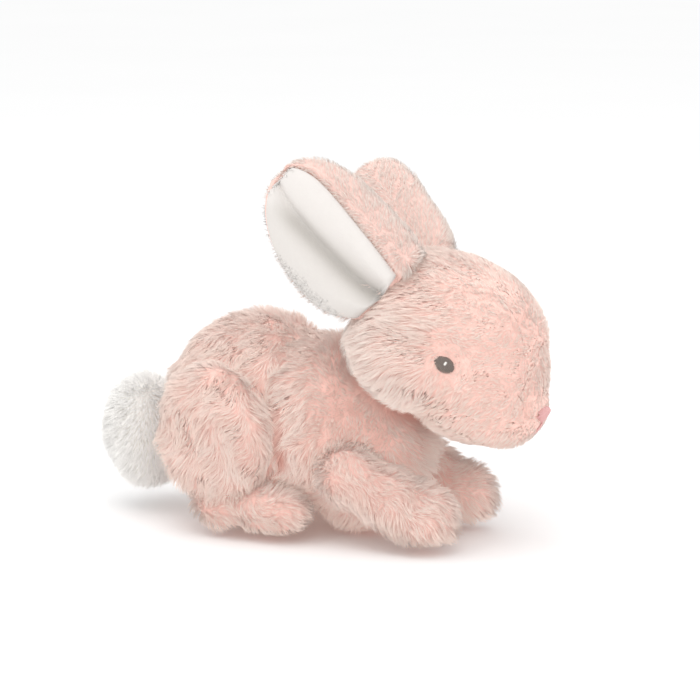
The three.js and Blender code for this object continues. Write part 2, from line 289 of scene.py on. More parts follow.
def growSkin(name, lumps, form):
    deselect()
    skin = joined([addLump(lump, form["inset"]) for lump in lumps], name)
    remesh = skin.modifiers.new("remesh", "REMESH")
    remesh.mode, remesh.voxel_size = "VOXEL", form["voxel"] * mm
    relax = skin.modifiers.new("relax", "SMOOTH")
    relax.factor, relax.iterations = form["relaxBy"], form["relax"]
    applyAll(skin)
    swell(skin, form["cloth"])
    points = pointsOf(skin.data)
    points[:, 2] = np.maximum(points[:, 2], form["floor"] * mm)
    setPoints(skin.data, points)
    return skin


def measure(points, lumps, inset):  # below 1 inside the lumps, above 1 outside
    least = np.full(len(points), np.inf)
    for lump in lumps:
        away = points / mm - np.array(lump["at"])
        turn = radians(lump.get("tilt", 0))
        x = away[:, 0] * cos(turn) - away[:, 2] * sin(turn)
        z = away[:, 0] * sin(turn) + away[:, 2] * cos(turn)
        half = np.array(lump["half"]) - inset
        radius = np.sqrt((x / half[0]) ** 2 + (away[:, 1] / half[1]) ** 2 + (z / half[2]) ** 2)
        least = np.minimum(least, radius)
    return least


# Cuts a skin along its seams, draws the seams in, and parts it. Each part says which faces belong to it.
def cutPanels(skin, seams, parts, tuck):
    pick(skin)
    for point, normal in seams:
        bpy.ops.object.mode_set(mode="EDIT")
        bpy.ops.mesh.select_all(action="SELECT")
        bpy.ops.mesh.bisect(plane_co=[v * mm for v in point], plane_no=normal)
        bpy.ops.object.mode_set(mode="OBJECT")
    panels = {}
    for name, belongs in parts.items():
        panel = skin.copy()
        panel.data = skin.data.copy()
        panel.name = panel.data.name = name
        bpy.context.collection.objects.link(panel)
        middles = np.array([face.center for face in panel.data.polygons]) / mm
        outside = ~belongs(*middles.T)
        pick(panel)
        bpy.ops.object.mode_set(mode="EDIT")
        bpy.ops.mesh.select_all(action="DESELECT")
        bpy.ops.object.mode_set(mode="OBJECT")
        panel.data.polygons.foreach_set("select", outside)
        bpy.ops.object.mode_set(mode="EDIT")
        bpy.ops.mesh.select_mode(type="FACE")
        bpy.ops.mesh.delete(type="FACE")
        bpy.ops.object.mode_set(mode="OBJECT")
        drawInSeam(panel, tuck)
        panels[name] = panel
    deselect()
    bpy.data.objects.remove(skin)
    return panels


# Points near a panel's open edge sink towards the filling.
def drawInSeam(panel, tuck):
    mesh = panel.data
    uses = {}
    for face in mesh.polygons:
        for key in face.edge_keys:
            uses[key] = uses.get(key, 0) + 1
    edge = sorted({v for key, count in uses.items() if count == 1 for v in key})
    if not edge:
        return
    points, normals = pointsOf(mesh), pointsOf(mesh, "normal")
    tree = KDTree(len(edge))
    for at, index in enumerate(edge):
        tree.insert(points[index], at)
    tree.balance()
    away = np.array([tree.find(p)[2] for p in points])
    drawn = tuck["depth"] * mm * np.exp(-((away / (tuck["wide"] * mm)) ** 2))
    setPoints(mesh, points - normals * drawn[:, None])


# Pile, on its woven backing
hairShape = {"roundness": 0.62, "root": 0.8}
backingThick = 0.8


# One hair, modelled once: a three-sided spike with a bend half way. z runs from root to tip.
def makeHair():
    deselect()
    bpy.ops.mesh.primitive_cone_add(
        vertices=3, radius1=hairShape["root"], radius2=0, depth=1, location=(0, 0, 0.5)
    )
    hair = settle(bpy.context.active_object)
    bpy.ops.object.mode_set(mode="EDIT")
    bpy.ops.mesh.select_all(action="SELECT")
    bpy.ops.mesh.bisect(plane_co=(0, 0, 0.5), plane_no=(0, 0, 1))
    bpy.ops.object.mode_set(mode="OBJECT")
    points = pointsOf(hair.data)
    middle = np.abs(points[:, 2] - 0.5) < 0.01
    points[middle, :2] *= hairShape["roundness"] / np.linalg.norm(points[middle][:, :2], axis=1)[:, None]
    faces = [list(face.vertices) for face in hair.data.polygons]
    bpy.data.objects.remove(hair)
    return points, faces


hairPoints, hairFaces = makeHair()


class Swirl:  # a smooth field of random numbers between about -1 and 1
    def __init__(self, size, seed, waves=10):
        rng = np.random.default_rng(seed)
        ways = unit(rng.normal(size=(waves, 3))) * (2 * pi / (size * mm))
        self.steps = ways * rng.uniform(0.6, 1.7, (waves, 1))
        self.starts = rng.uniform(0, 2 * pi, waves)

    def at(self, points):
        return np.sin(points @ self.steps.T + self.starts).sum(axis=1) / np.sqrt(len(self.starts))


def nearest(points, guides):
    tree = KDTree(len(guides))
    for at, guide in enumerate(guides):
        tree.insert(guide, at)
    tree.balance()
    return np.array([tree.find(point)[1] for point in points])


# Where hairs are at a share t of their length: they rise steeply and then lie over.
def bent(roots, normals, lays, lengths, leans, t):
    low, high = leans
    bend = np.where(np.abs(high - low) < 1e-3, 1e-3, high - low)
    rise = (np.sin(low + bend * t) - np.sin(low)) / bend
    reach = (np.cos(low) - np.cos(low + bend * t)) / bend
    return roots + (normals * rise[:, None] + lays * reach[:, None]) * lengths[:, None]


# Covers a skin in hairs. flow gives the way the pile lies, thin the share of hairs kept, crop the share of
# their length. lift says where the pile is combed up, and rim where it is seen on edge.
def growPile(
    skin, pile, flow, thin=None, crop=None, lift=None, cream=None, shade=None, rim=None, turned=None
):
    rng = np.random.default_rng(pile["seed"])
    mesh = skin.data
    mesh.calc_loop_triangles()
    points, pointNormals = pointsOf(mesh), pointsOf(mesh, "normal")
    corners = np.empty(len(mesh.loop_triangles) * 3, dtype=np.int32)
    mesh.loop_triangles.foreach_get("vertices", corners)
    corners = corners.reshape(-1, 3)
    a, b, c = (points[corners[:, k]] for k in range(3))
    areas = np.linalg.norm(np.cross(b - a, c - a), axis=1) / 2
    count = int(areas.sum() / mm**2 * pile["density"])
    chosen = rng.choice(len(areas), count, p=areas / areas.sum())
    u, v = rng.random((2, count))
    over = u + v > 1
    u[over], v[over] = 1 - u[over], 1 - v[over]
    weights = np.stack([1 - u - v, u, v], axis=1)[:, :, None]
    roots = (points[corners[chosen]] * weights).sum(axis=1)
    normals = unit((pointNormals[corners[chosen]] * weights).sum(axis=1))
    if thin is not None:
        kept = rng.random(count) < thin(roots, normals)
        roots, normals = roots[kept], normals[kept]
    count = len(roots)
    if not count:
        return None

    lays = flow(roots, normals)
    lays = unit(lays - normals * (lays * normals).sum(axis=1, keepdims=True) + 1e-9)
    angle = radians(pile["swirl"]) * Swirl(pile["swirlSize"], pile["seed"] + 1).at(roots)
    angle = angle + radians(pile["stray"]) * rng.normal(size=count)
    across = np.cross(normals, lays)
    lays = lays * np.cos(angle)[:, None] + across * np.sin(angle)[:, None]
    lengths = pile["length"] * mm * rng.uniform(1 - pile["uneven"], 1, count)
    lengths = lengths * (1 + pile["tufty"] * Swirl(pile["tuftSize"], pile["seed"] + 2).at(roots))
    long, wide = pile["partSize"]
    partCount = min(int(areas.sum() / mm**2 * pile["partings"] / 1000), count)
    for at in rng.choice(count, partCount, replace=False):
        ahead, aside = lays[at], across[at]  # the pile falls open along a short line here
        away = roots - roots[at]
        s, t = away @ aside / mm, away @ ahead / mm
        near = np.exp(-((s / wide) ** 2) - (t / long) ** 2)
        near = near * (np.abs(away @ normals[at]) < pile["partDeep"] * mm)
        lays = unit(lays + np.outer(np.sign(s) * near * pile["partTurn"], aside))
        lengths = lengths * (1 - pile["partCrop"] * near)
    if crop is not None:
        lengths = lengths * crop(roots, normals)
    low, high, pressed = pile["pressed"]
    lengths = lengths * (pressed + (1 - pressed) * smoothStep(low, high, roots[:, 2] / mm))
    raised = 1 + pile["ruffle"] * Swirl(pile["tuftSize"] * 1.3, pile["seed"] + 3).at(roots)
    if lift is not None:
        raised = raised * (1 - pile["lifted"] * lift(roots, normals))
    low = radians(pile["leans"][0]) * np.clip(raised, 0.1, 1.6)
    high = radians(pile["leans"][1]) * np.clip(raised, 0.2, 1.2)

    def curve(which, t):
        return bent(roots[which], normals[which], lays[which], lengths[which], (low[which], high[which]), t)

    everyHair = np.arange(count)
    levels = []
    for spacing, pull in pile["clumps"]:
        guideCount = max(int(count / (pile["density"] * spacing**2)), 1)
        guides = rng.choice(count, guideCount, replace=False)
        mine = guides[nearest(roots, roots[guides])]
        levels.append((mine, pull * rng.uniform(*pile["clumpVary"], count)))
    rolls = rng.uniform(0, 2 * pi, count)
    thick = pile["thick"] * mm / 2 * rng.uniform(*pile["thickVary"], count)
    clumpTone = np.random.default_rng(pile["seed"] + 4).random(count)[levels[0][0]]
    tones = np.clip(pile["tuftTone"] * clumpTone + (1 - pile["tuftTone"]) * rng.random(count), 0, 1)

    def spine(t):
        own = curve(everyHair, t)
        for mine, pull in levels:
            own = own + (curve(mine, t) - own) * (pull * t ** pile["clumpRise"])[:, None]
        return own

    heights = np.unique(np.round(hairPoints[:, 2], 3))
    rings = {}
    for t in heights:
        here = spine(t)
        ahead = unit(spine(min(t + 0.05, 1.05)) - here)
        side = unit(np.cross(ahead, lays + normals * 0.3) + across * 1e-6)
        rings[t] = (here, side, np.cross(ahead, side))
    soften = np.full(count, pile["soften"])
    if rim is not None:
        soften = soften * (1 - pile["rimSharp"] * rim(roots, normals))
    soften = soften[:, None]
    turned = np.array(pile["lit"]) if turned is None else turned(roots, normals)
    perHair = len(hairPoints)
    places = np.empty((count, perHair, 3))
    facings = np.empty((count, perHair, 3))
    cosine, sine = np.cos(rolls)[:, None], np.sin(rolls)[:, None]
    for k, (x, y, z) in enumerate(hairPoints):
        here, side, up = rings[round(float(z), 3)]
        spoke = side * (x * cosine - y * sine) + up * (x * sine + y * cosine)
        places[:, k] = here + spoke * thick[:, None]
        facings[:, k] = unit(normals * soften + spoke * (1 - soften) + turned)
    places[:, :, 2] = np.maximum(places[:, :, 2], pile["floorGap"] * mm)
    creams = np.zeros(count) if cream is None else np.clip(cream(roots, normals), 0, 1)
    # painted shade for each hair, from the shade function
    shades = np.zeros(count) if shade is None else np.clip(shade(roots, normals), 0, 1)
    along = np.tile(hairPoints[:, 2], count)
    return {
        "points": places.reshape(-1, 3),
        "facings": facings.reshape(-1, 3),
        "along": along,
        "tone": np.repeat(tones, perHair),
        "cream": np.repeat(creams, perHair),
        "shade": np.repeat(shades, perHair),
        "count": count,
    }


# Joins a skin and its pile in one mesh, with what the shaders read.
def wear(skin, grown, material, shade=None):
    backing = skin.modifiers.new("backing", "SOLIDIFY")
    backing.thickness, backing.offset = backingThick * mm, -1
    applyAll(skin)
    mesh = skin.data
    base = len(mesh.vertices)
    points = np.concatenate([pointsOf(mesh), grown["points"]])
    facings = np.concatenate([pointsOf(mesh, "normal"), grown["facings"]])
    skinFaces = [list(face.vertices) for face in mesh.polygons]
    hairs, perHair = grown["count"], len(hairPoints)
    offsets = base + np.arange(hairs) * perHair
    loops = [np.concatenate([np.array(face) for face in skinFaces])]
    sizes = [np.array([len(face) for face in skinFaces])]
    pattern = np.concatenate([np.array(face) for face in hairFaces])
    loops.append((offsets[:, None] + pattern[None, :]).ravel())
    sizes.append(np.tile([len(face) for face in hairFaces], hairs))
    loops, sizes = np.concatenate(loops).astype(np.int32), np.concatenate(sizes).astype(np.int32)
    made = bpy.data.meshes.new(skin.name)
    made.vertices.add(len(points))
    made.vertices.foreach_set("co", points.ravel())
    made.loops.add(len(loops))
    made.loops.foreach_set("vertex_index", loops)
    made.polygons.add(len(sizes))
    made.polygons.foreach_set("loop_start", np.concatenate([[0], np.cumsum(sizes)[:-1]]).astype(np.int32))
    made.polygons.foreach_set("use_smooth", np.ones(len(sizes), dtype=bool))
    made.update(calc_edges=True)
    for key, start in (("along", 0.0), ("tone", 0.5), ("cream", 0.0), ("shade", 0.0)):
        onSkin = np.full(base, start)
        # The skin under the pile takes the same painted shade.
        if key == "shade" and shade is not None:
            onSkin = np.clip(shade(points[:base], facings[:base]), 0, 1)
        values = np.concatenate([onSkin, grown[key]]).astype(np.float32)
        made.attributes.new(key, "FLOAT", "POINT").data.foreach_set("value", values)
    made.normals_split_custom_set_from_vertices(facings)
    made.materials.append(material)
    skin.data = made
    return skin


# The rabbit's soft forms, as its pattern gives them
form = {
    "inset": 3.4,
    "voxel": 2.4,
    "relax": 12,
    "relaxBy": 0.5,
    "floor": 1.6,
    "cloth": {"pressure": 4, "mass": 0.0006, "stiffness": 5, "quality": 4, "frames": 14, "most": 0.9},
}
seamTuck = {"depth": 1.0, "wide": 2.6}
torsoLumps = [
    {"at": (-28, 0, 43), "half": (41, 36, 45)},
    {"at": (-2, 0, 43), "half": (42, 33, 38)},
    {"at": (18, 0, 35), "half": (30, 26, 38)},
]
neckLump = {"at": (30, 0, 62), "half": (20, 22, 19)}
headLumps = [
    {"at": (55, 0, 82), "half": (41, 35, 34.5), "tilt": 12},
    {"at": (66, 0, 71), "half": (30, 32, 33)},
    {"at": (74.5, 0, 56), "half": (22.5, 24.5, 19)},
    {"at": (44.5, -19, 76), "half": (28, 19, 20.5), "tilt": 24},
    {"at": (44.5, 19, 76), "half": (28, 19, 20.5), "tilt": 24},
]
haunchLumps = [{"at": (-32, 32, 41), "half": (26, 15, 31), "tilt": -8}]
footLumps = [
    {"at": (-30, 30, 14), "half": (15, 12.5, 14)},
    {"at": (-11, 29, 12.5), "half": (21, 12.5, 12.5), "tilt": 4},
]
armLumps = [
    {"at": (22, 24, 29), "half": (15, 14, 15)},
    {"at": (37, 22, 21), "half": (24, 13.5, 14.5), "tilt": 26},
    {"at": (51, 20, 14.5), "half": (17, 13.5, 15)},
]
tailLumps = [{"at": (-81, 0, 32), "half": (17, 21.5, 25.5), "tilt": -8}]


def onSide(lumps, sign):
    return [{**lump, "at": (lump["at"][0], lump["at"][1] * sign, lump["at"][2])} for lump in lumps]


# How much of the pile is worth growing: none where one piece is buried in another.
def clearOf(buried, under=0.5):
    def thin(points, normals):
        share = np.ones(len(points))
        for lumps in buried:
            share = share * (measure(points, lumps, form["inset"] + 1.5) > 1)
        share = share * np.where((normals[:, 2] < -0.75) & (points[:, 2] < 6 * mm), under, 1)
        return share
    return thin


def steady(x, y, z):
    direction = np.array([x, y, z], dtype=float)
    return lambda points, normals: np.tile(direction, (len(points), 1))


bodyPile = {
    "density": 2.8,
    "length": 7.5,
    "uneven": 0.45,
    "thick": 0.25,
    "leans": (42, 83),
    "swirl": 38,
    "swirlSize": 15,
    "stray": 12,
    "tufty": 0.10,
    "tuftSize": 14,
    "ruffle": 0.28,
    "clumps": [(4.4, 0.34), (1.5, 0.34)],
    "partings": 0.3,  # on a thousand square millimetres
    "partSize": (5, 1.6),
    "partDeep": 3,
    "partTurn": 1.2,
    "partCrop": 0.2,
    "pressed": (1, 10, 0.4),  # shorter near the floor: between these heights, from this share of the length
    "floorGap": 0.2,
    "lifted": 0.75,
    "clumpVary": (0.6, 1.0),
    "clumpRise": 1.3,
    "thickVary": (0.75, 1.25),
    "tuftTone": 0.55,
    "soften": 0.9,
    "rimSharp": 0.6,
    "lit": (0.1, -0.05, 0.4),  # light passes through thin pile
    "seed": 10,
}


def dress(panels, pile, flow, material, body, thin=None, crop=None, slot="pink_plush", **ways):
    total = 0
    for at, (name, panel) in enumerate(panels.items()):
        grown = growPile(panel, {**pile, "seed": pile["seed"] + 17 * at}, flow, thin, crop, **ways)
        wear(panel, grown, material, ways.get("shade"))
        panel.name = panel.data.name = name + "_plush"
        fasten(panel, body, name)
        total += grown["count"]
    print(body, "pile:", total, "hairs")
    return total


hairTotal = 0

# Torso and haunches: one taut form, cut into its panels
bellyHigh = 13.2
bothHaunches = onSide(haunchLumps, 1) + onSide(haunchLumps, -1)
bothArms = onSide(armLumps, 1) + onSide(armLumps, -1)
bothFeet = onSide(footLumps, 1) + onSide(footLumps, -1)
torsoSkin = growSkin("torso", torsoLumps + [neckLump] + bothHaunches, form)


def inHaunch(x, y, z):
    points = np.stack([x, y, z], axis=1) * mm
    return (measure(points, bothHaunches, 1.5) < 1.0) & (np.abs(y) > 20) & (z > bellyHigh)


torsoPanels = cutPanels(
    torsoSkin,
    [((0, 0, 0), (0, 1, 0)), ((0, 0, bellyHigh), (0, 0, 1))],
    {
        "torso_left_panel": lambda x, y, z: (y > 0) & (z > bellyHigh) & ~inHaunch(x, y, z),
        "torso_right_panel": lambda x, y, z: (y < 0) & (z > bellyHigh) & ~inHaunch(x, y, z),
        "haunch_left_cover": lambda x, y, z: (y > 0) & inHaunch(x, y, z),
        "haunch_right_cover": lambda x, y, z: (y < 0) & inHaunch(x, y, z),
        "belly_panel": lambda x, y, z: z <= bellyHigh,
    },
    seamTuck,
)


def torsoFlow(points, normals):  # down from the back, and backwards behind the head
    x = points[:, 0] / mm
    back = smoothStep(20, -60, x)
    return np.stack([-0.6 + 0.3 * back, 0.0 * x, -0.8 - 0.3 * back], axis=1)


def shoulderLift(points, normals):
    x, y, z = (points / mm).T
    return smoothStep(-2, 10, x) * smoothStep(22, 32, z)


# How strong the painted shade is in each fold.
torsoFoldShade = {"neck": 1.0, "haunch": 0.75, "legs": 0.4}


def torsoShade(points, normals):  # painted shade deep in the folds at the neck, by the haunches and round the paws
    neck = torsoFoldShade["neck"] * smoothStep(1.38, 1.04, measure(points, headLumps, form["inset"]))
    x, y, z = (points / mm).T
    around = measure(points, bothHaunches, 0)
    fold = smoothStep(1.0, 1.06, around) * smoothStep(1.2, 1.1, around)
    fold = torsoFoldShade["haunch"] * fold * smoothStep(-25, -10, x) * smoothStep(60, 40, z)
    legs = torsoFoldShade["legs"] * smoothStep(1.2, 1.0, measure(points, bothArms + bothFeet, form["inset"]))
    return np.maximum(neck, np.maximum(fold, legs))


hairTotal += dress(
    torsoPanels, bodyPile, torsoFlow, pinkPlush, "torso",
    clearOf([headLumps, bothArms, bothFeet], 0.25), lift=shoulderLift, shade=torsoShade,
)

# Hind feet
soleHigh = 8
footPile = {**bodyPile, "length": 7, "leans": (25, 75), "seed": 60}
for side, sign in sides.items():
    skin = growSkin("foot", onSide(footLumps, sign), form)
    parts = {
        f"foot_{side}_upper": lambda x, y, z: z > soleHigh,
        f"foot_{side}_sole": lambda x, y, z: z <= soleHigh,
    }
    panels = cutPanels(skin, [((0, 0, soleHigh), (0, 0, 1))], parts, seamTuck)
    pile = {**footPile, "seed": footPile["seed"] + sign}
    clear = clearOf([torsoLumps], 0.3)
    hairTotal += dress(panels, pile, steady(1, 0, -0.25), pinkPlush, f"foot_{side}", clear)

# Forelegs
armSeam = 24
armPile = {**bodyPile, "leans": (24, 74), "seed": 80}
for side, sign in sides.items():
    skin = growSkin("arm", onSide(armLumps, sign), form)
    parts = {
        f"arm_{side}_outer_panel": lambda x, y, z, sign=sign: y * sign > armSeam,
        f"arm_{side}_inner_panel": lambda x, y, z, sign=sign: y * sign <= armSeam,
    }
    panels = cutPanels(skin, [((0, armSeam * sign, 0), (0, 1, 0))], parts, seamTuck)
    pile = {**armPile, "seed": armPile["seed"] + sign}
    clear = clearOf([torsoLumps], 0.3)
    hairTotal += dress(panels, pile, steady(0.85, 0, -0.6), pinkPlush, f"arm_{side}", clear)

# Tail
tailPile = {
    **bodyPile, "length": 6.5, "leans": (20, 62), "clumps": [(3, 0.2), (1.3, 0.25)], "density": 3.6,
    "seed": 100, "swirl": 16, "swirlSize": 30, "ruffle": 0.1, "uneven": 0.3, "partings": 0,
}
tailSkin = growSkin("tail", tailLumps, {**form, "inset": 3.6})
tailPanels = cutPanels(
    tailSkin,
    [((0, 0, 0), (0, 1, 0))],
    {"tail_left_panel": lambda x, y, z: y > 0, "tail_right_panel": lambda x, y, z: y <= 0},
    seamTuck,
)
hairTotal += dress(
    tailPanels, tailPile, steady(-0.6, 0, -0.8), whitePlush, "tail",
    clearOf([torsoLumps]), slot="white_plush",
)

# Head
eyePlace = np.array((66, 31.5, 77))  # the middle of the hollow round the left eye
face = {
    "dimple": 1.6, "dimpleWide": 7, "eyeBare": 3.6,
    "parting": 1.6, "partingReach": 11,
    # painted shade round each eye: how dark, and how far it reaches
    "hollow": 0.3, "hollowReach": 6.5,
    "cheekCream": 0.75, "browCream": 0.35,
    "longest": 1.15, "muzzleCrop": 0.75, "crownCrop": 0.25, "eyeCrop": 0.7, "noseCrop": 0.65,
    "noseTip": (93, 0, 53),
}
gusset = {"half": 12, "tilt": 14, "through": (60, 0, 62)}
headSkin = growSkin("head", headLumps, form)


def aboveGusset(x, z):
    turn = radians(gusset["tilt"])
    return (x - gusset["through"][0]) * sin(turn) + (z - gusset["through"][2]) * cos(turn) > 0


def inGusset(x, y, z):
    return (np.abs(y) < gusset["half"]) & aboveGusset(x, z)


gussetNormal = (sin(radians(gusset["tilt"])), 0, cos(radians(gusset["tilt"])))
headPanels = cutPanels(
    headSkin,
    [
        ((0, 0, 0), (0, 1, 0)),
        ((0, gusset["half"], 0), (0, 1, 0)),
        ((0, -gusset["half"], 0), (0, 1, 0)),
        (gusset["through"], gussetNormal),
    ],
    {
        "head_left_panel": lambda x, y, z: (y > 0) & ~inGusset(x, y, z),
        "head_right_panel": lambda x, y, z: (y <= 0) & ~inGusset(x, y, z),
        "head_gusset": inGusset,
    },
    {"depth": 0.3, "wide": 2.0},
)
for panel in headPanels.values():  # a dimple under each eye
    points, normals = pointsOf(panel.data), pointsOf(panel.data, "normal")
    for sign in sides.values():
        away = np.linalg.norm(points - eyePlace * (1, sign, 1) * mm, axis=1) / mm
        sunk = face["dimple"] * mm * np.exp(-((away / face["dimpleWide"]) ** 2))
        points = points - normals * sunk[:, None]
    setPoints(panel.data, points)

headPoints, headFaces = [], []
for panel in headPanels.values():
    headFaces += [[v + len(headPoints) for v in face.vertices] for face in panel.data.polygons]
    headPoints += pointsOf(panel.data).tolist()
headSurface = BVHTree.FromPolygons(headPoints, headFaces)


def ontoFace(point, outwards, above=0.0):  # drops a point onto the head, against outwards
    start = Vector([float(v) * mm for v in point]) + Vector(outwards) * 20 * mm
    hit = headSurface.ray_cast(start, -Vector(outwards))[0]
    return np.array(hit if hit else start) / mm + np.array(outwards) * above


def fromEyes(points):
    return [points / mm - eyePlace * (1, sign, 1) for sign in sides.values()]


# The face's pile lies back from the nose, down over the cheeks, and away from each eye.
def faceFlow(points, normals):
    x, y, z = (points / mm).T
    outward = 0.3 * np.sign(y) * smoothStep(2, 20, np.abs(y))
    downward = -0.15 - 0.7 * smoothStep(95, 60, z) * smoothStep(80, 55, x)
    flow = np.stack([np.full(len(x), -1.0), outward, downward], axis=1)
    for away in fromEyes(points):
        distance = np.linalg.norm(away, axis=1, keepdims=True)
        flow = flow + face["parting"] * unit(away) * np.exp(-((distance / face["partingReach"]) ** 2))
    return flow


def faceShade(points, normals):  # painted shade in the hollow round each eye
    share = np.zeros(len(points))
    for away in fromEyes(points):
        distance = np.linalg.norm(away, axis=1)
        share = share + face["hollow"] * np.exp(-((distance / face["hollowReach"]) ** 2))
    return share


def faceCream(points, normals):
    x, y, z = (points / mm).T
    cheek = smoothStep(62, 44, x) * smoothStep(102, 84, z)
    return face["cheekCream"] * cheek + face["browCream"] * smoothStep(50, 75, x) * smoothStep(70, 90, z)


def faceCrop(points, normals):
    x, y, z = (points / mm).T
    share = face["longest"] - face["muzzleCrop"] * smoothStep(44, 76, x)
    share = share * (1 - face["crownCrop"] * smoothStep(88, 106, z))
    for away in fromEyes(points):
        distance = np.linalg.norm(away, axis=1)
        share = share * (1 - face["eyeCrop"] * (1 - smoothStep(4, 13, distance)))
    toNose = np.linalg.norm(points / mm - np.array(face["noseTip"]), axis=1)
    return share * (1 - face["noseCrop"] * (1 - smoothStep(4, 14, toNose)))


def faceThin(points, normals):
    share = clearOf([[neckLump], torsoLumps], 1)(points, normals)
    for away in fromEyes(points):
        share = share * (np.linalg.norm(away, axis=1) > face["eyeBare"])
    return share


headPile = {
    **bodyPile, "seed": 120, "swirl": 20, "ruffle": 0.2, "leans": (42, 84), "density": 3.0,
    "partings": 0.15, "stray": 8, "clumps": [(4.2, 0.36), (1.5, 0.34)],
}
hairTotal += dress(
    headPanels, headPile, faceFlow, pinkPlush, "head", faceThin, faceCrop, cream=faceCream, shade=faceShade,
)

# Ears: plush folded over lengthwise. A section runs from the rear edge over the valley to the front edge.
ear = {
    "length": 62,
    "widestFront": 0.5,
    "widestRear": 0.32,
    "face": [
        (26.2, 3.4), (22, 5.4), (18.5, 5.2), (14, 2.6), (9.5, -1.2), (6.6, 3.2),
        (2, 7.0), (-1.5, 8.2), (-4.5, 7.8),
    ],
    "behind": [
        (-8, 8.6), (-12, 7.4), (-15.8, 4.6), (-18, 0), (-17.4, -4.4), (-12.5, -7.4),
        (-5, -8), (4, -7.4), (13, -5.6), (20.5, -2.4), (25.4, 0.8),
    ],
    "seat": 3.0,
    "lining": 1.6,
    "trim": -0.5,
    "lean": 8,
}
earPlaces = {
    "right": {"root": (40, -18, 103), "tip": (-2, -29, 143), "out": (0.38, -0.9, 0.17), "full": 1.0},
    "left": {"root": (36, 17, 98), "tip": (-3, 41, 132.5), "out": (-0.1, 0.95, 0), "full": 1.16},
}


def earAxes(place):
    root, tip, out = (np.array(place[key], dtype=float) for key in ("root", "tip", "out"))
    along = unit(tip - root)
    out = unit(out - along * (out @ along))
    across = np.cross(out, along)
    return root, along, out, across * (-1 if across[0] > 0 else 1)


def earSection(share, ring, full):
    past = np.clip((share - ear["widestFront"]) / (1 - ear["widestFront"]), 0, 1)
    pastRear = np.clip((share - ear["widestRear"]) / (1 - ear["widestRear"]), 0, 1)
    rooted = np.clip(1 - share / ear["widestRear"], 0, 1)
    front = full * np.sqrt(1 - past ** (3 * full)) * (1 - 0.25 * np.clip(1 - share / 0.3, 0, 1) ** 2)
    rear = np.sqrt(1 - pastRear**2) * (1 - 0.35 * rooted**2)
    thick = (1.05 - 0.5 * share) * (1 - 0.5 * past**3)
    face = [(x, y, y) for x, y in ear["face"]]
    if ring == "lining":
        face[0] = (face[0][0] - ear["trim"], face[0][1], face[0][1])
        face[-1] = (face[-1][0] + ear["trim"], face[-1][1], face[-1][1])
        loop = [(x, y, 0.0) for x, y, _ in face] + [(x, y, -ear["lining"]) for x, y, _ in reversed(face)]
    else:
        loop = [(x, y, -ear["seat"]) for x, y, _ in face] + [(x, y, 0.0) for x, y in ear["behind"]]
    x, y, wall = np.array(loop).T
    x = x - ear["lean"] * (share - 0.4) * smoothStep(6, 0, x) * smoothStep(-15, -9, x)
    return np.stack([x * np.where(x > 0, rear, front), y * thick + wall], axis=1)


def roundThrough(loop, where):  # a smooth closed curve through a loop, read at shares of its way round
    count = len(loop)
    at = (where % 1) * count
    k = np.floor(at).astype(int)
    t = (at - k)[:, None]
    p0, p1, p2, p3 = (loop[(k + step) % count] for step in (-1, 0, 1, 2))
    second, third = 2 * p0 - 5 * p1 + 4 * p2 - p3, 3 * p1 - p0 - 3 * p2 + p3
    return 0.5 * (2 * p1 + (p2 - p0) * t + second * t**2 + third * t**3)


# A closed sheath of one ear, from a ball whose poles become the root and the tip.
def earForm(name, place, ring, first, last):
    deselect()
    bpy.ops.mesh.primitive_uv_sphere_add(segments=80, ring_count=48, radius=1)
    sheath = bpy.context.active_object
    sheath.name = sheath.data.name = name
    ball = pointsOf(sheath.data)
    turnAt = (np.arctan2(ball[:, 1], ball[:, 0]) / (2 * pi)) % 1
    height = np.clip(np.arccos(np.clip(ball[:, 2], -1, 1)) / pi, 0, 1)
    shares = first + (last - first) * np.sin(pi / 2 * (1 - height))
    root, along, out, across = earAxes(place)
    points = np.empty_like(ball)
    for share in np.unique(np.round(shares, 5)):
        mine = np.abs(shares - share) < 1e-5
        loop = earSection(float(share), ring, place["full"])
        flat = roundThrough(loop, turnAt[mine])
        if mine.sum() == 1:
            flat = loop.mean(axis=0)[None, :]
        middle = root + share * ear["length"] * along
        points[mine] = middle + np.outer(flat[:, 0], across) + np.outer(flat[:, 1], out)
    setPoints(sheath.data, points * mm)
    faceOutwards(sheath)
    bpy.ops.object.mode_set(mode="EDIT")
    bpy.ops.mesh.select_all(action="SELECT")
    bpy.ops.mesh.sort_elements(type="CURSOR_DISTANCE", elements={"FACE"})  # so the pile grows alike each time
    bpy.ops.object.mode_set(mode="OBJECT")
    return sheath


earPile = {
    **bodyPile, "length": 6, "leans": (36, 78), "seed": 150, "swirl": 16, "density": 2.9, "ruffle": 0.12,
    "clumps": [(2.6, 0.2), (1.2, 0.3)], "partings": 0.8,
}
# The ears' plush: a darker, less red copy of the pink plush, for ears that face the lamps: painted shade.
earShadedLook = {
    **pinkLook, "root": (0.74, 0.47, 0.41, 1), "tip": (0.78, 0.68, 0.605, 1), "pale": (0.82, 0.75, 0.70, 1),
    "deep": (0.79, 0.60, 0.54, 1), "cream": (0.745, 0.685, 0.62, 1),
}
earShadedPlush = plush("earShadedPlush", earShadedLook)
liningPile = {
    **bodyPile, "length": 1.7, "leans": (40, 84), "seed": 170, "swirl": 12, "clumps": [(1.5, 0.15)],
    "density": 3.0, "thick": 0.22, "ruffle": 0.1, "soften": 0.97, "partings": 0,
}
velvetLook = {
    # painted shade in the fold's valley
    "valley": (0.44, 0.415, 0.385, 1),
    "worn": (0.60, 0.57, 0.54, 1),
    "fuzz": (0.93, 0.90, 0.87, 1),
    "face": (0.70, 0.665, 0.64, 1),
    "grain": 0.55,
    "depth": 0.25,
}
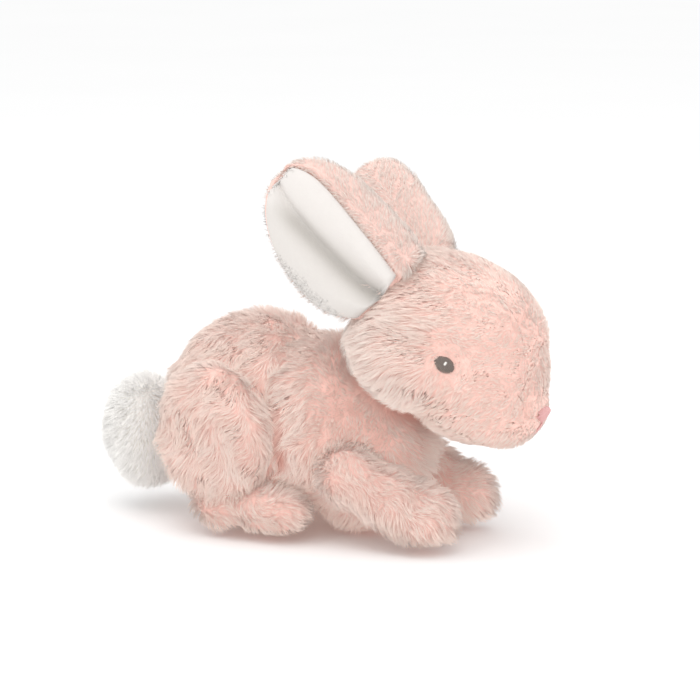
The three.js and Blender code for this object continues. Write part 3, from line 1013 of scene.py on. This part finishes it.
# The lining glows faintly in its own colour: painted glow.
velvet = Finish(
    "velvetLining", Sheen_Weight=0.4, Sheen_Roughness=0.4, Specular_IOR_Level=0.1, Emission_Strength=0.1
)
combed = velvet.noise(1.4, 4.0, 0.7)
worn = velvet.noise(9, 3.0) * 0.35 + combed * 0.2
velvetColour = velvet.mix(worn, velvetLook["face"], velvetLook["worn"])
# Painted shade down in the fold's valley, from the shade attribute.
velvetColour = velvet.mix(velvet.read("shade"), velvetColour, velvetLook["valley"])
# Paler towards the fuzz tips: painted light on the fuzz hairs.
velvetColour = velvet.mix(velvet.read("along"), velvetColour, velvetLook["fuzz"])
velvetLining = velvet.feed(
    Base_Color=velvetColour,
    Emission_Color=velvetColour,
    Roughness=0.7 + 0.2 * combed,
    Normal=velvet.bump(velvet.noise(velvetLook["grain"], 3.0), 0.5, velvetLook["depth"]),
)
for side, place in earPlaces.items():
    root, along, out, across = earAxes(place)
    body = f"ear_{side}"

    def earSpot(points, root=root, along=along, out=out, across=across):
        away = points / mm - root
        return away @ along / ear["length"], away @ across, away @ out

    def earFlow(points, normals, along=along, across=across, earSpot=earSpot):
        share, lateral, _ = earSpot(points)
        over = 1.5 * smoothStep(-11, -7, lateral) * smoothStep(0, -3, lateral)  # laps over the lining
        rise = 1.6 * smoothStep(0.03, 0.15, share) - 0.8  # falls over the head's pile, then runs up
        return np.outer(rise, along) + np.outer(lateral * 0.05 + over, across)

    def earCrop(points, normals, earSpot=earSpot):  # short along the fold, a fringe on the rear edge
        share, lateral, _ = earSpot(points)
        frontward = smoothStep(12, -4, lateral)
        rooted = 1 + 0.5 * smoothStep(0.25, 0.08, share)  # long round the root, to meet the head's pile
        return (1 - 0.5 * frontward) * (1 - 0.25 * smoothStep(0.7, 1, share)) * rooted

    def earThin(points, normals, out=out, earSpot=earSpot):  # none under the lining
        share, lateral, deep = earSpot(points)
        section = np.array(ear["face"])[::-1]
        thick = 1.05 - 0.5 * share
        under = np.interp(lateral, section[:, 0], section[:, 1]) * thick
        inside = (lateral < 24) & (lateral > -4.5) & (deep > under - 4.5) & (normals @ out > 0.1)
        return np.where(inside | (share < 0), 0, 1)

    def earRim(points, normals, earSpot=earSpot):
        share, lateral, _ = earSpot(points)
        return np.maximum(smoothStep(16, 22, lateral), smoothStep(0.85, 0.95, share))

    def earTurned(points, normals, earRim=earRim):  # the fringe shows its lit side
        return np.array(bodyPile["lit"]) + np.outer(earRim(points, normals), (0, -0.5, 0.8))

    def earCream(points, normals, earSpot=earSpot):
        return 0.6 + 0.3 * smoothStep(6, -6, earSpot(points)[1])

    back = earForm(f"ear_{side}_back", place, "plush", 0, 0.99)
    pile = {**earPile, "seed": earPile["seed"] + sides[side]}
    hairTotal += dress(
        {f"ear_{side}_back": back}, pile, earFlow, earShadedPlush, body,
        earThin, earCrop, cream=earCream, rim=earRim, turned=earTurned,
    )

    def liningShade(points, normals, earSpot=earSpot):  # painted shade down in the fold's valley, and lightly over the rear half
        share, lateral, _ = earSpot(points)
        valley = np.exp(-(((lateral - 9.8) / 3.6) ** 2)) * smoothStep(0.98, 0.7, share)
        return np.clip(0.85 * valley + 0.25 * smoothStep(8, 16, lateral), 0, 1)

    def liningThin(points, normals, out=out, earSpot=earSpot):  # smooth velvet, with fuzz along its edges
        share, lateral, _ = earSpot(points)
        edge = np.maximum(smoothStep(22, 25, lateral), smoothStep(0.93, 0.98, share))
        return np.where(normals @ out > -0.2, edge, 0)

    lining = earForm(f"ear_{side}_lining", place, "lining", 0.02, 0.965)
    pile = {**liningPile, "seed": liningPile["seed"] + sides[side]}
    hairTotal += dress(
        {f"ear_{side}_lining": lining}, pile, earFlow, velvetLining, body,
        liningThin, slot="ear_lining", shade=liningShade, turned=earTurned,
    )
print("ears done")

# Eyes, nose and mouth: satin stitches laid side by side
stitchLook = {"strand": 0.3, "depth": 0.12}


def threadFinish(name, dark, light, axis):
    thread = Finish(name, Sheen_Weight=0.15, Specular_IOR_Level=0.45)
    mapping = {"Vector": thread.place(), "Scale": axis}
    streaks = thread.add("ShaderNodeMapping", {"vector_type": "POINT"}, mapping, "Vector")
    texture = {"Vector": streaks, "Scale": 1 / (stitchLook["strand"] * mm), "Detail": 3.0}
    fibre = thread.add("ShaderNodeTexNoise", None, texture, "Fac")
    colour, normal = thread.mix(fibre, dark, light), thread.bump(fibre, 0.5, stitchLook["depth"])
    return thread.feed(Base_Color=colour, Roughness=0.35 + 0.25 * fibre, Normal=normal)


brownThread = threadFinish("brownThread", (0.09, 0.07, 0.06, 1), (0.27, 0.22, 0.19, 1), (1, 1, 0.2))
roseThread = threadFinish("roseThread", (0.62, 0.30, 0.30, 1), (0.86, 0.52, 0.50, 1), (1, 0.2, 1))
paleThread = threadFinish("paleThread", (0.75, 0.72, 0.68, 1), (0.95, 0.93, 0.9, 1), (1, 1, 0.2))


# One stitch, modelled once: a strand with rounded ends, one unit long along x.
def makeStitch():
    deselect()
    bpy.ops.mesh.primitive_cylinder_add(vertices=8, radius=0.5, depth=1, rotation=(0, pi / 2, 0))
    strand = settle(bpy.context.active_object)
    bpy.ops.object.mode_set(mode="EDIT")
    bpy.ops.mesh.select_all(action="SELECT")
    for at in (-0.42, -0.3, 0.0, 0.3, 0.42):
        bpy.ops.mesh.bisect(plane_co=(at, 0, 0), plane_no=(1, 0, 0))
        bpy.ops.mesh.select_all(action="SELECT")
    bpy.ops.object.mode_set(mode="OBJECT")
    strand.name = "stitch"
    return strand


stitchMaster = makeStitch()


# Lays stitches over a patch. Each is (start, middle, end) in millimetres; they arch from start to end.
def satin(name, stitches, thick, material):
    strands = []
    deselect()
    for start, middle, end in stitches:
        strand = stitchMaster.copy()
        strand.data = stitchMaster.data.copy()
        bpy.context.collection.objects.link(strand)
        shape = pointsOf(strand.data)
        t = shape[:, :1] + 0.5
        start, middle, end = (np.array(p, dtype=float) for p in (start, middle, end))
        bow = 2 * middle - (start + end) / 2
        line = start * (1 - t) ** 2 + bow * 2 * t * (1 - t) + end * t**2
        ahead = unit(2 * (1 - t) * (bow - start) + 2 * t * (end - bow))
        up = unit(middle - (start + end) / 2 + 1e-6)
        aside = unit(np.cross(ahead, up))
        above = np.cross(aside, ahead)
        slim = np.sqrt(np.clip(1 - (2 * t - 1) ** 6, 0.15, 1))
        girth = (aside * shape[:, 1:2] + above * shape[:, 2:3] * 0.8) * thick * slim
        setPoints(strand.data, (line + girth) * mm)
        strands.append(strand)
    patch = joined(strands, name)
    cover(patch, material)
    faceOutwards(patch)
    return patch


eye = {
    "at": (64.5, 33, 77), "half": (4.2, 3.3), "tilt": 32, "turn": 14, "bulge": 1.2, "sunk": 0.8,
    "strands": 15, "thick": 0.62, "glintThick": 0.45,
}
for side, sign in sides.items():
    turn, tilt = radians(eye["turn"]), radians(eye["tilt"])
    outwards = unit(np.array((sin(turn), sign * cos(turn), 0.12)))
    long = np.array((cos(tilt), 0, -sin(tilt)))
    long = unit(long - outwards * (long @ outwards))
    high = np.cross(outwards, long) * -sign
    centre = ontoFace(np.array(eye["at"]) * (1, sign, 1), outwards, 0.6)
    stitches = []
    for u in np.linspace(-0.96, 0.96, eye["strands"]):
        reach = eye["half"][1] * np.sqrt(1 - u * u)
        foot = centre + long * u * eye["half"][0]
        dome = eye["bulge"] * (1 - u * u)
        low, top = (foot + high * way * reach - outwards * eye["sunk"] for way in (-1, 1))
        stitches.append((low, foot + outwards * dome, top))
    patch = satin(f"eye_{side}_stitches", stitches, eye["thick"], brownThread)
    fasten(patch, "head", f"eye_{side}")
    # Two pale stitches high on each eye: a catch-light in pale thread, partly the toy's own stitch and partly
    # a painted glint.
    glint = centre + long * 0.5 + high * 0.7 + outwards * (eye["bulge"] + 0.15)
    sparks = []
    for u in (-0.2, 0.2):
        middle = glint + long * u
        sparks.append((middle - high * 0.75, middle + outwards * 0.35, middle + high * 0.75))
    fasten(satin(f"eye_{side}_glint", sparks, eye["glintThick"], paleThread), "head")

nose = {
    "at": (93, 0, 54), "half": (5.2, 3.2), "lean": 12, "bulge": 1.0, "pile": 0.9, "sunk": 0.3,
    "strands": 15, "thick": 0.8,
}
lean = radians(nose["lean"])
noseUp = np.array((-sin(lean), 0, cos(lean)))
noseOut = np.array((cos(lean), 0, sin(lean)))
stitches = []
for u in np.linspace(-1, 1, nose["strands"]):
    foot = np.array(nose["at"]) + np.array((0, 1, 0)) * u * nose["half"][0]
    top = foot + noseUp * nose["half"][1] * (1 - 0.35 * u * u)
    bottom = foot - noseUp * nose["half"][1] * (1 - abs(u) ** 1.2 * 0.95)
    middle = (top + bottom) / 2
    puff = nose["pile"] + nose["bulge"] * (1 - 0.5 * u * u)
    spots = ((bottom, -nose["sunk"]), (middle, puff), (top, -nose["sunk"]))
    stitches.append([ontoFace(spot, noseOut, above) for spot, above in spots])
fasten(satin("nose_stitches", stitches, nose["thick"], roseThread), "head", "nose")

mouth = {"top": 51.0, "bottom": 44.5, "apart": 0.3, "thick": 0.9, "pile": 0.5, "sunk": 0.6}
forwards = (1.0, 0.0, 0.0)
drop = ((mouth["top"], 0), ((mouth["top"] + mouth["bottom"]) / 2, 0), (mouth["bottom"], mouth["sunk"]))
mouthStitches = [
    [ontoFace((95, aside, z), forwards, mouth["pile"] - sunk) for z, sunk in drop]
    for aside in (-mouth["apart"], mouth["apart"])
]
mouthPatch = satin("mouth_stitches", mouthStitches, mouth["thick"], roseThread)
fasten(mouthPatch, "head", "mouth_stitch")
deselect()
bpy.data.objects.remove(stitchMaster)
print("face stitches done")

# What is inside: loose fibre filling, and the seam that holds the head on
fibreLook = {"curl": 1.6, "lump": 9, "depth": 0.8}
fibre = Finish("fibreFilling", Sheen_Weight=0.3, Specular_IOR_Level=0.1)
curls = fibre.noise(fibreLook["curl"], 5.0, 0.7)
fibreFilling = fibre.feed(
    Base_Color=fibre.mix(fibre.noise(fibreLook["lump"]), (0.82, 0.81, 0.79, 1), (0.93, 0.92, 0.9, 1)),
    Roughness=0.8 + 0.15 * curls,
    Normal=fibre.bump(curls, 0.8, fibreLook["depth"]),
)
fillings = [o for o in bpy.data.objects if o.type == "MESH" and o.name.endswith("_filling")]
for filling in fillings:
    cover(filling, fibreFilling)
cover(bpy.data.objects["neck_seam"], roseThread)
print("filling done")
print("hairs in all:", hairTotal)

# Stage: floor, light and camera
studio = {
    "azimuth": 25, "elevation": 11, "distance": 1000, "across": 280, "aimRight": 10.24, "aimUp": 70.2,
    "world": 1.03, "floor": 60,
}
lamps = {
    "key": {"at": (0.45, -0.6, 1.0), "size": 0.8, "power": 2.8},
    "fill": {"at": (-0.4, -1.1, 0.6), "size": 1.0, "power": 0.8},
    "above": {"at": (-0.25, -0.2, 1.1), "size": 0.9, "power": 2.5},
}
deselect()
bpy.ops.mesh.primitive_plane_add(size=studio["floor"], location=(0, 0, 0))
floor = bpy.context.active_object
floor.name = "floor"
paper = Finish("paper", Specular_IOR_Level=0.0)
floor.data.materials.append(
    paper.feed(
        Base_Color=paper.mix(paper.noise(300), (0.93, 0.93, 0.93, 1), (0.95, 0.95, 0.95, 1)),
        Roughness=0.9 + 0.08 * paper.noise(40),
    )
)

turn, rise = radians(studio["azimuth"]), radians(studio["elevation"])
right = Vector((cos(turn), sin(turn), 0))
towards = Vector((sin(turn) * cos(rise), -cos(turn) * cos(rise), sin(rise)))
upwards = towards.cross(right)
aim = (right * studio["aimRight"] + upwards * studio["aimUp"]) * mm
cameraData = bpy.data.cameras.new("camera")
cameraData.sensor_width = 36
cameraData.lens = 36 * studio["distance"] / studio["across"]
camera = bpy.data.objects.new("camera", cameraData)
bpy.context.collection.objects.link(camera)
camera.matrix_world = Matrix.Translation(aim + towards * studio["distance"] * mm) @ Matrix(
    (right, upwards, towards)
).transposed().to_4x4()
bpy.context.scene.camera = camera

for name, lamp in lamps.items():
    data = bpy.data.lights.new(name, "AREA")
    data.shape, data.size, data.energy = "DISK", lamp["size"], lamp["power"]
    light = bpy.data.objects.new(name, data)
    bpy.context.collection.objects.link(light)
    light.location = lamp["at"]
    light.rotation_euler = (Vector((0, 0, 0.05)) - Vector(lamp["at"])).to_track_quat("-Z", "Y").to_euler()
world = bpy.data.worlds.new("studio")
world.use_nodes = True
world.node_tree.nodes["Background"].inputs["Color"].default_value = (1, 1, 1, 1)
world.node_tree.nodes["Background"].inputs["Strength"].default_value = studio["world"]
bpy.context.scene.world = world
bpy.context.scene.view_settings.view_transform = "Standard"
